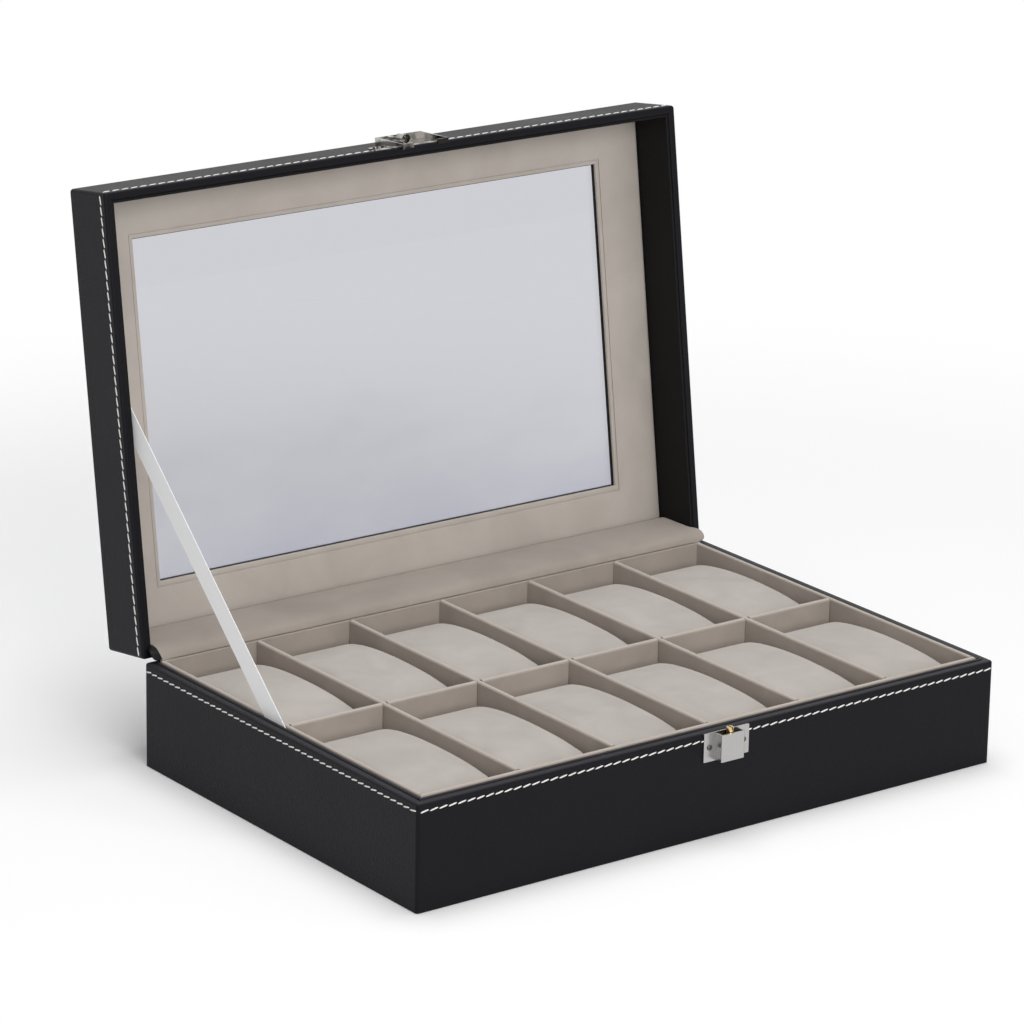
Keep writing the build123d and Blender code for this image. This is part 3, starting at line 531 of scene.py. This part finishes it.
# Stitching: white waxed thread in slanted running stitches, a few millimetres below each rim.
# One stitch is modelled, repeated along a side by an array, and the sides are joined.
stitch_pitch = 0.00445
stitch_length = 0.0039
stitch_radius = 0.00033
stitch_slant = math.radians(10)
stitch_straight = 0.62
stitch_tip = 0.45
stitch_inset = 0.0034
stitch_margin = 0.0010
thread, thread_shader, thread_tree = new_finish("thread", (0.86, 0.85, 0.82), 0.7)
thread_shader.inputs["Sheen Weight"].default_value = 0.2
thread_twist = object_pattern(thread_tree, "ShaderNodeTexWave", 900, wave_type="BANDS")
thread_twist.bands_direction = "DIAGONAL"
thread_relief = thread_tree.nodes.new("ShaderNodeBump")
thread_relief.inputs["Strength"].default_value = 0.5
thread_relief.inputs["Distance"].default_value = 0.0001
thread_tree.links.new(thread_twist.outputs["Fac"], thread_relief.inputs["Height"])
thread_tree.links.new(thread_relief.outputs["Normal"], thread_shader.inputs["Normal"])


def stitch_row(start, along, outward, length):
    """A row of stitches on one side, from start for a length."""
    bpy.ops.mesh.primitive_cylinder_add(
        vertices=8, radius=stitch_radius, depth=stitch_length * stitch_straight
    )
    row = bpy.context.object
    bpy.ops.object.mode_set(mode="EDIT")
    bpy.ops.mesh.select_mode(type="FACE")
    for end in (-1, 1):
        bpy.ops.mesh.select_all(action="DESELECT")
        bpy.ops.object.mode_set(mode="OBJECT")
        for face in row.data.polygons:
            face.select = face.normal.z * end > 0.9
        bpy.ops.object.mode_set(mode="EDIT")
        step = stitch_length * (1 - stitch_straight) / 2 * end
        bpy.ops.mesh.extrude_region_move(TRANSFORM_OT_translate={"value": (0, 0, step)})
        bpy.ops.transform.resize(value=(stitch_tip, stitch_tip, 1))
    bpy.ops.object.mode_set(mode="OBJECT")
    bpy.ops.object.shade_smooth()
    up = outward.cross(along)
    lean = along * math.cos(stitch_slant) + up * math.sin(stitch_slant)
    side = outward.cross(lean)
    turn = Matrix((side, outward, lean)).transposed().to_4x4()
    count = int(length / stitch_pitch)
    first = start + along * (length / count / 2)
    row.data.transform(Matrix.Translation(first) @ turn)
    repeat = row.modifiers.new("repeat", "ARRAY")
    repeat.count = count
    repeat.use_relative_offset = False
    repeat.use_constant_offset = True
    repeat.constant_offset_displace = along * (length / count)
    apply_modifiers(row)
    return row


def join_pieces(pieces, name):
    """Join pieces into one, with one finish left as it was."""
    deselect_all()
    for piece in pieces:
        piece.select_set(True)
    bpy.context.view_layer.objects.active = pieces[0]
    bpy.ops.object.join()
    joined = bpy.context.object
    joined.name = name
    joined.data.name = name
    return joined


def stitched_ring(name, corner, along_x, along_y, rise, width, depth, body):
    """Four rows round a rim: corner is the rim's front left outer corner."""
    lift = rise * stitch_inset
    run_x = width - 2 * stitch_margin
    run_y = depth - 2 * stitch_margin
    start = corner + lift
    rows = [
        stitch_row(start + along_x * stitch_margin, along_x, -along_y, run_x),
        stitch_row(start + along_x * width + along_y * stitch_margin, along_y, along_x, run_y),
        stitch_row(
            start + along_x * (width - stitch_margin) + along_y * depth, -along_x, along_y, run_x
        ),
        stitch_row(start + along_y * (depth - stitch_margin), -along_y, -along_x, run_y),
    ]
    ring = join_pieces(rows, name)
    ring.data.materials.clear()
    ring.data.materials.append(thread)
    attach(ring, body)
    return ring


# The lid's own directions at rest, open: out along its width, from its front back to the
# hinge, and up through its top. They come from the hinge joint and the lid's box.
hinge = next(joint for joint in frame["joints"] if joint["name"] == "lid_hinge")
hinge_place = Vector(hinge["pos_m"])
opening = math.radians(-hinge["range_deg"][0])
lid_along = Vector((0, math.cos(opening), -math.sin(opening)))
lid_rise = Vector((0, math.sin(opening), math.cos(opening)))
box_right = Vector((1, 0, 0))
box_back = Vector((0, 1, 0))
box_up = Vector((0, 0, 1))
base_low, base_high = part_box("base_leather")
box_width = base_high.x - base_low.x
box_depth = base_high.y - base_low.y
seam = 0.0003


def on_lid(x, y, z):
    """A point of the shut lid, as (x, y, height over the rim), on the lid where it stands."""
    return hinge_place + box_right * x + lid_along * (y - hinge_place.y) + lid_rise * z


stitched_ring(
    "base_stitching", Vector((base_low.x, base_low.y, base_high.z)), box_right, box_back,
    -box_up, box_width, box_depth, "base",
)
stitched_ring(
    "lid_stitching", on_lid(base_low.x, base_low.y, seam), box_right, lid_along,
    lid_rise, box_width, box_depth, "lid",
)

# Lock and hasp: pressed steel, nickel plated and polished, with faint smears. Both are held
# by dark steel screws, which are modelled with their crossed driver slots.
smear, smear_in, smear_out = new_group(
    "handled_metal",
    [("Size", "NodeSocketFloat", 160.0)],
    [("Smear", "NodeSocketFloat"), ("Scratch", "NodeSocketFloat")],
)
smear_place = smear.nodes.new("ShaderNodeTexCoord")
smear_noise = smear.nodes.new("ShaderNodeTexNoise")
smear_noise.inputs["Detail"].default_value = 5.0
smear_stretch = smear.nodes.new("ShaderNodeMapping")
smear_stretch.inputs["Scale"].default_value = (1.0, 1.0, 0.06)
smear_fine = smear.nodes.new("ShaderNodeTexNoise")
smear_fine.inputs["Scale"].default_value = 5200.0
smear.links.new(smear_place.outputs["Object"], smear_noise.inputs["Vector"])
smear.links.new(smear_in.outputs["Size"], smear_noise.inputs["Scale"])
smear.links.new(smear_place.outputs["Object"], smear_stretch.inputs["Vector"])
smear.links.new(smear_stretch.outputs["Vector"], smear_fine.inputs["Vector"])
smear.links.new(smear_noise.outputs["Fac"], smear_out.inputs["Smear"])
smear.links.new(smear_fine.outputs["Fac"], smear_out.inputs["Scratch"])


def metal_finish(name, colour, smooth, rough):
    """Polished metal with smears from the shared group."""
    finish, shader, tree = new_finish(name, colour, smooth, 1.0)
    handled = add_node(tree, "ShaderNodeGroup", node_tree=smear)
    shine = tree.nodes.new("ShaderNodeMapRange")
    shine.inputs["From Min"].default_value = 0.3
    shine.inputs["From Max"].default_value = 0.75
    shine.inputs["To Min"].default_value = smooth
    shine.inputs["To Max"].default_value = rough
    relief = tree.nodes.new("ShaderNodeBump")
    relief.inputs["Strength"].default_value = 0.03
    relief.inputs["Distance"].default_value = 0.00003
    tree.links.new(handled.outputs["Smear"], shine.inputs["Value"])
    tree.links.new(shine.outputs["Result"], shader.inputs["Roughness"])
    tree.links.new(handled.outputs["Scratch"], relief.inputs["Height"])
    tree.links.new(relief.outputs["Normal"], shader.inputs["Normal"])
    return finish


nickel = metal_finish("nickel_plate", (0.46, 0.45, 0.445), 0.16, 0.34)
set_finish(nickel, "lock_plate", "lock_housing")
# The hasp is polished to a mirror. Dark patches in its colour stand in for what it mirrors
hasp_nickel = metal_finish("hasp_nickel", (0.62, 0.60, 0.57), 0.08, 0.14)
hasp_tree = hasp_nickel.node_tree
hasp_colour = hasp_tree.nodes["Principled BSDF"].inputs["Base Color"]
mirrored = object_pattern(hasp_tree, "ShaderNodeTexNoise", 95)
mirrored_step = hasp_tree.nodes.new("ShaderNodeMapRange")
mirrored_step.inputs["From Min"].default_value = 0.38
mirrored_step.inputs["From Max"].default_value = 0.56
mirrored_tone = add_node(hasp_tree, "ShaderNodeMix", data_type="RGBA")
mirrored_tone.inputs["A"].default_value = (0.035, 0.032, 0.030, 1)
mirrored_tone.inputs["B"].default_value = (0.62, 0.60, 0.57, 1)
hasp_tree.links.new(mirrored.outputs["Fac"], mirrored_step.inputs["Value"])
hasp_tree.links.new(mirrored_step.outputs["Result"], mirrored_tone.inputs["Factor"])
hasp_tree.links.new(mirrored_tone.outputs["Result"], hasp_colour)
set_finish(hasp_nickel, "hasp_plate", "hasp_tube")
screw_steel = metal_finish("screw_steel", (0.13, 0.125, 0.12), 0.2, 0.35)
brass = metal_finish("barrel_brass", (0.72, 0.56, 0.28), 0.14, 0.26)
set_finish(brass, "key_barrel")
plain_steel = metal_finish("hinge_steel", (0.42, 0.42, 0.43), 0.28, 0.45)
set_finish(
    plain_steel,
    "left_hinge_base_leaf", "right_hinge_base_leaf", "left_hinge_lid_leaf",
    "right_hinge_lid_leaf", "hinge_pins", "hinge_base_screws", "hinge_lid_screws",
)
screw_radius = 0.0012
screw_head = 0.0006
screw_rounding = 0.0004
screw_slot = (0.0003, 0.0015, 0.0006)
screw_bite = 0.0024
lock_gauge = 0.0007
hasp_gauge = 0.0008


def screw_piece(place, outward, across):
    """A dome-headed screw with a crossed slot, its head's underside at place."""
    bpy.ops.mesh.primitive_cylinder_add(vertices=32, radius=screw_radius, depth=screw_head)
    screw = bpy.context.object
    bpy.ops.object.mode_set(mode="EDIT")
    bpy.ops.mesh.select_mode(type="FACE")
    bpy.ops.mesh.select_all(action="DESELECT")
    bpy.ops.object.mode_set(mode="OBJECT")
    for face in screw.data.polygons:
        face.select = face.normal.z > 0.9
    bpy.ops.object.mode_set(mode="EDIT")
    bpy.ops.mesh.bevel(offset=screw_rounding, segments=4, affect="EDGES")
    bpy.ops.object.mode_set(mode="OBJECT")
    for turned in (False, True):
        bpy.ops.mesh.primitive_cube_add(size=1)
        slot_block = bpy.context.object
        wide, long, deep = screw_slot
        slot_block.scale = (long, wide, deep) if turned else screw_slot
        slot_block.location = (0, 0, screw_rounding)
        bpy.context.view_layer.update()
        cut = screw.modifiers.new("slot", "BOOLEAN")
        cut.operation = "DIFFERENCE"
        cut.object = slot_block
        make_active(screw)
        bpy.ops.object.modifier_apply(modifier="slot")
        bpy.data.objects.remove(slot_block)
    up = outward.cross(across)
    turn = Matrix((across, up, outward)).transposed().to_4x4()
    spin = Matrix.Rotation(math.radians(20), 4, "Z")
    screw.data.transform(Matrix.Translation(place + outward * screw_head / 2) @ turn @ spin)
    make_active(screw)
    bpy.ops.object.shade_smooth_by_angle(angle=math.radians(35))
    return screw


def screw_pair(name, node, outward, across, seat, body):
    """Two screws where the CAD screws stand, with their heads on the plate."""
    low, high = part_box(node)
    middle = (low + high) / 2
    pieces = []
    for x in (low.x + screw_radius, high.x - screw_radius):
        place = Vector((x, middle.y, middle.z))
        place += outward * (seat - (place - middle).dot(outward))
        pieces.append(screw_piece(place, outward, across))
    pair = join_pieces(pieces, name)
    pair.data.materials.clear()
    pair.data.materials.append(screw_steel)
    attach(pair, body)
    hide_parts(node)


# A head's seat on its plate, measured from the middle of the screw's length
lock_seat = (screw_bite + lock_gauge + screw_head) / 2 - screw_head
screw_pair("lock_screw_heads", "lock_screws", -box_back, box_right, lock_seat, "base")
hasp_seat = (screw_bite + hasp_gauge + screw_head) / 2 - screw_head
screw_pair("hasp_screw_heads", "hasp_screws", -lid_along, box_right, hasp_seat, "lid")

# Window pane: thin clear glass, faintly blue grey, its colour painted darker and bluer towards
# the
# hinge in a mottle: painted shade and reflection. It lies between the lid's top and the velvet
# window frame.
pane_glass, pane_shader, pane_tree = new_finish("pane_glass", (0.86, 0.87, 0.89), 0.0)
pane_shader.inputs["Transmission Weight"].default_value = 1.0
pane_shader.inputs["IOR"].default_value = 1.45
pane_painted_mottle = object_pattern(pane_tree, "ShaderNodeTexNoise", 16, (0.7, 1, 1.8))
pane_painted_mottle.inputs["Detail"].default_value = 5.0
pane_place = pane_tree.nodes.new("ShaderNodeTexCoord")
pane_parts = pane_tree.nodes.new("ShaderNodeSeparateXYZ")
pane_rise = pane_tree.nodes.new("ShaderNodeMapRange")
pane_rise.interpolation_type = "SMOOTHSTEP"
pane_rise.inputs["From Min"].default_value = 0.085
pane_rise.inputs["From Max"].default_value = 0.185
pane_mottled_height = add_node(pane_tree, "ShaderNodeMath", operation="MULTIPLY_ADD")
pane_mottled_height.inputs[1].default_value = 0.11
# Darker and bluer low on the pane: painted shade and reflection, broken by the noise into a
# painted mottle
pane_tint_and_painted_shade = add_node(pane_tree, "ShaderNodeMix", data_type="RGBA")
pane_tint_and_painted_shade.inputs["A"].default_value = (0.475, 0.477, 0.562, 1)
pane_tint_and_painted_shade.inputs["B"].default_value = (0.612, 0.616, 0.652, 1)
pane_tree.links.new(pane_place.outputs["Object"], pane_parts.inputs[0])
pane_tree.links.new(pane_painted_mottle.outputs["Fac"], pane_mottled_height.inputs[0])
pane_tree.links.new(pane_parts.outputs["Z"], pane_mottled_height.inputs[2])
pane_tree.links.new(pane_mottled_height.outputs[0], pane_rise.inputs["Value"])
pane_tree.links.new(pane_rise.outputs["Result"], pane_tint_and_painted_shade.inputs["Factor"])
pane_tree.links.new(pane_tint_and_painted_shade.outputs["Result"], pane_shader.inputs["Base Color"])
set_finish(pane_glass, "window_pane")

# Window frame: card wrapped in velvet, fitted under the lid's top round the pane. Its face
# curves away into the walls, and a narrow welt of velvet is tucked in round the window.
frame_half = 0.1452
frame_front = -0.0942
frame_back = 0.09455
frame_face = 0.022
frame_foot = 0.025
opening_left = -0.1248
opening_right = 0.1200
opening_front = -0.0749
opening_back = 0.0725
groove = 0.0006
card_edge = 0.0003
card_face = 0.0234


def corner_loop(left, right, front, back, height):
    """Four corners at one height over the lid's rim."""
    return [(left, front, height), (right, front, height), (right, back, height),
            (left, back, height)]


def frame_loop(side_inset, end_inset, height):
    """Four corners on the frame, so far in from its outer edges."""
    half = frame_half - side_inset
    return corner_loop(-half, half, frame_front + end_inset, frame_back - end_inset, height)


def welt_loop(outset, back_outset, height):
    """Four corners round the window, so far out from its edges."""
    return corner_loop(
        opening_left - outset, opening_right + outset,
        opening_front - outset, opening_back + back_outset, height,
    )


# Round the frame's section: its side, the curve over to its face, the groove and the welt
frame_loops = [
    frame_loop(0.0, 0.0, frame_foot),
    frame_loop(0.0, 0.0, frame_face + 0.0018),
    frame_loop(0.0006, 0.0003, frame_face + 0.0010),
    frame_loop(0.0018, 0.0008, frame_face + 0.00055),
    frame_loop(0.0040, 0.0016, frame_face + 0.00025),
    frame_loop(0.0072, 0.0030, frame_face + 0.00006),
    frame_loop(0.0110, 0.0060, frame_face),
    welt_loop(0.0024, 0.0028, frame_face),
    welt_loop(0.0021, 0.0025, frame_face + 0.00012),
    welt_loop(0.00205, 0.00245, frame_face + groove),
    welt_loop(0.00175, 0.00215, frame_face + groove),
    welt_loop(0.0017, 0.0021, frame_face + 0.00030),
    welt_loop(0.0011, 0.0013, frame_face + 0.00018),
    welt_loop(0.0002, 0.0003, frame_face + 0.00030),
    welt_loop(0.0, 0.0, frame_face + 0.00060),
    welt_loop(0.0, 0.0, card_face),
    welt_loop(-card_edge, -card_edge, card_face),
    welt_loop(-card_edge, -card_edge, frame_foot),
]
bpy.ops.mesh.primitive_circle_add(vertices=4, radius=0.1, fill_type="NOTHING")
window_frame = bpy.context.object
window_frame.name = "velvet_window_frame"
for _ in frame_loops[1:]:
    bpy.ops.object.mode_set(mode="EDIT")
    bpy.ops.mesh.extrude_edges_move(TRANSFORM_OT_translate={"value": (0, 0, 0.001)})
    bpy.ops.object.mode_set(mode="OBJECT")
frame_points = [on_lid(*corner) for loop in frame_loops for corner in loop]
set_vertices(window_frame, frame_points)
make_active(window_frame)
bpy.ops.object.mode_set(mode="EDIT")
bpy.ops.mesh.select_mode(type="EDGE")
bpy.ops.mesh.select_all(action="DESELECT")
bpy.ops.mesh.select_non_manifold(extend=False)
bpy.ops.mesh.bridge_edge_loops()
bpy.ops.mesh.select_all(action="SELECT")
bpy.ops.mesh.normals_make_consistent(inside=False)
bpy.ops.object.mode_set(mode="OBJECT")
bpy.ops.object.shade_smooth_by_angle(angle=math.radians(40))
window_frame.data.materials.clear()
window_frame.data.materials.append(liner_velvet)
window_frame.data.materials.append(band_leather)
# The card's own black edge shows between the velvet and the pane
card_margin = 0.001
card_slack = 0.0001
for face in window_frame.data.polygons:
    depth = (face.center - on_lid(0, 0, 0)).dot(lid_along)
    height = (face.center - on_lid(0, 0, 0)).dot(lid_rise)
    beside = opening_left - card_margin < face.center.x < opening_right + card_margin
    within = opening_front - card_margin < depth < opening_back + card_margin
    if height > card_face - card_slack and beside and within:
        face.material_index = 1
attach(window_frame, "lid")
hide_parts("lid_liner_frame")

# Hinge strip: one strip of velvet glued inside the lid's back wall and to the base's back
# liner. It hides the hinges and folds as the lid shuts, and has a short tab at each end.
# A darker copy of the same velvet: painted shade for the strip, which lies in shade between the
# lid and the base
strip_velvet_painted_shade = velvet_finish("strip_velvet_painted_shade", (0.315, 0.276, 0.243), (0.40, 0.352, 0.312), 31.0)
strip_columns = 72
strip_thickness = 0.0008
# Half of the strip's width along the wall, at its tabs and at its foot
strip_ends = (0.1445, 0.1490, 0.1412)
strip_ripple = 0.00012
strip_fine_ripple = 0.0001
strip_glue = 0.00005
liner_half = 0.1425
tab_run = 0.0025
tab_rest = 0.0008
tab_slack = 0.00002
wall_back = 0.0955
rim_height = base_high.z
strip_wall = wall_back - strip_glue - strip_thickness / 2
strip_path = [
    on_lid(0, strip_wall - 0.0036, 0.0214),
    on_lid(0, strip_wall - 0.0030, 0.016),
    on_lid(0, strip_wall - 0.0023, 0.010),
    on_lid(0, strip_wall - 0.0016, 0.005),
    on_lid(0, strip_wall - 0.0011, 0.0018),
    on_lid(0, strip_wall - 0.0007, 0.0002),
    Vector((0, 0.0985, rim_height + 0.0053)),
    Vector((0, 0.0962, rim_height + 0.0047)),
    Vector((0, 0.0949, rim_height + 0.0037)),
    Vector((0, 0.0945, rim_height + 0.0024)),
    Vector((0, 0.0938, rim_height + 0.0013)),
]
first_base_row = 6
strip_reach = [strip_ends[0] + 0.0005] * 4 + [
    strip_ends[0] + 0.0007,
    strip_ends[1] - 0.0016,
    strip_ends[1] - 0.0004,
    strip_ends[1],
    strip_ends[1] - 0.0006,
    strip_ends[1] - 0.0020,
    strip_ends[2],
]
strip_rows = len(strip_path)
strip_main = strip_ends[0] * strip_columns / (strip_columns - 2)
bpy.ops.mesh.primitive_grid_add(
    x_subdivisions=strip_columns, y_subdivisions=strip_rows - 1, size=2
)
strip = bpy.context.object
strip.name = "velvet_hinge_strip"
grid = vertex_array(strip)
shaped = np.empty_like(grid)
for index, (across, along, _) in enumerate(grid):
    step = int(round((along + 1) / 2 * (strip_rows - 1)))
    point = strip_path[step]
    ripple = strip_ripple * math.sin(across * 23.0 + step * 0.9)
    ripple += strip_fine_ripple * math.sin(across * 41.0)
    loose = math.sin(math.pi * step / (strip_rows - 1))
    end_column = abs(across) > 1 - 1 / strip_columns
    x = math.copysign(strip_reach[step], across) if end_column else across * strip_main
    # Past the liner's ends the strip lies down on the base's rim
    beside = min(1.0, max(0.0, (abs(x) - liner_half) / tab_run))
    lowered = max(0.0, step - first_base_row) / (strip_rows - 1 - first_base_row)
    drop = beside * lowered * (point.z - rim_height - tab_rest)
    shaped[index] = (x, point.y - ripple * loose, point.z + ripple * loose - drop)
set_vertices(strip, shaped)
make_active(strip)
bpy.ops.object.mode_set(mode="EDIT")
bpy.ops.mesh.select_all(action="SELECT")
bpy.ops.mesh.normals_make_consistent(inside=False)
bpy.ops.object.mode_set(mode="OBJECT")
thicken = strip.modifiers.new("thickness", "SOLIDIFY")
thicken.thickness = strip_thickness
thicken.offset = 0.0
soften = strip.modifiers.new("soften", "SUBSURF")
soften.levels = 1
soften.render_levels = 1
apply_modifiers(strip)
bpy.ops.object.shade_smooth()
strip.data.materials.clear()
strip.data.materials.append(strip_velvet_painted_shade)
strip.data.materials.append(band_leather)
# On the ribbon's side the strip's tab is of black leather, turned in at the corner
for face in strip.data.polygons:
    face.material_index = int(face.center.x < -strip_ends[0] - tab_slack)
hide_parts("hinge_strip")
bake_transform(strip)

# Stay ribbon: a flat white woven ribbon, taut from a pocket behind the left liner to the
# lid's left wall. It stops the lid, and drops into the box as the lid shuts.
ribbon_low, ribbon_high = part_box("stay_ribbon")
ribbon_x = (ribbon_low.x + ribbon_high.x) / 2
ribbon_width = 0.010
ribbon_thickness = 0.0003
ribbon_steps = 64
ribbon_box = Vector((0, ribbon_high.y - ribbon_low.y, ribbon_high.z - ribbon_low.z))
# The band is turned, so its box is larger than its line by its width's share each way. The
# angle settles in a few rounds
ribbon_angle = math.atan2(ribbon_box.z, ribbon_box.y)
for _ in range(20):
    line_y = ribbon_box.y - ribbon_width * math.sin(ribbon_angle)
    line_z = ribbon_box.z - ribbon_width * math.cos(ribbon_angle)
    ribbon_angle = math.atan2(line_z, line_y)
ribbon_line = Vector((0, line_y, line_z))
ribbon_across = Vector((0, -math.sin(ribbon_angle), math.cos(ribbon_angle)))
ribbon_middle = (ribbon_low + ribbon_high) / 2
ribbon_start = Vector((ribbon_x, ribbon_middle.y, ribbon_middle.z)) - ribbon_line / 2
bpy.ops.mesh.primitive_grid_add(x_subdivisions=4, y_subdivisions=ribbon_steps, size=2)
ribbon = bpy.context.object
ribbon.name = "white_stay_ribbon"
grid = vertex_array(ribbon)
shaped = np.empty_like(grid)
for index, (across, along, _) in enumerate(grid):
    share = (along + 1) / 2
    point = ribbon_start + ribbon_line * share + ribbon_across * (across * ribbon_width / 2)
    shaped[index] = point
set_vertices(ribbon, shaped)
ribbon.data.materials.clear()
ribbon_white, ribbon_shader, ribbon_tree = new_finish("ribbon_white", (0.96, 0.96, 0.97), 0.6)
ribbon_shader.inputs["Sheen Weight"].default_value = 0.25
ribbon_weave = object_pattern(ribbon_tree, "ShaderNodeTexWave", 420, (0, 1, 0.95))
ribbon_weave.bands_direction = "DIAGONAL"
ribbon_relief = ribbon_tree.nodes.new("ShaderNodeBump")
ribbon_relief.inputs["Strength"].default_value = 0.25
ribbon_relief.inputs["Distance"].default_value = 0.0001
ribbon_tree.links.new(ribbon_weave.outputs["Fac"], ribbon_relief.inputs["Height"])
ribbon_tree.links.new(ribbon_relief.outputs["Normal"], ribbon_shader.inputs["Normal"])
ribbon.data.materials.append(ribbon_white)
weave = ribbon.modifiers.new("thickness", "SOLIDIFY")
weave.thickness = ribbon_thickness
weave.offset = 0.0
apply_modifiers(ribbon)
bpy.ops.object.shade_smooth_by_angle(angle=math.radians(40))
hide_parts("stay_ribbon")
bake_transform(ribbon)
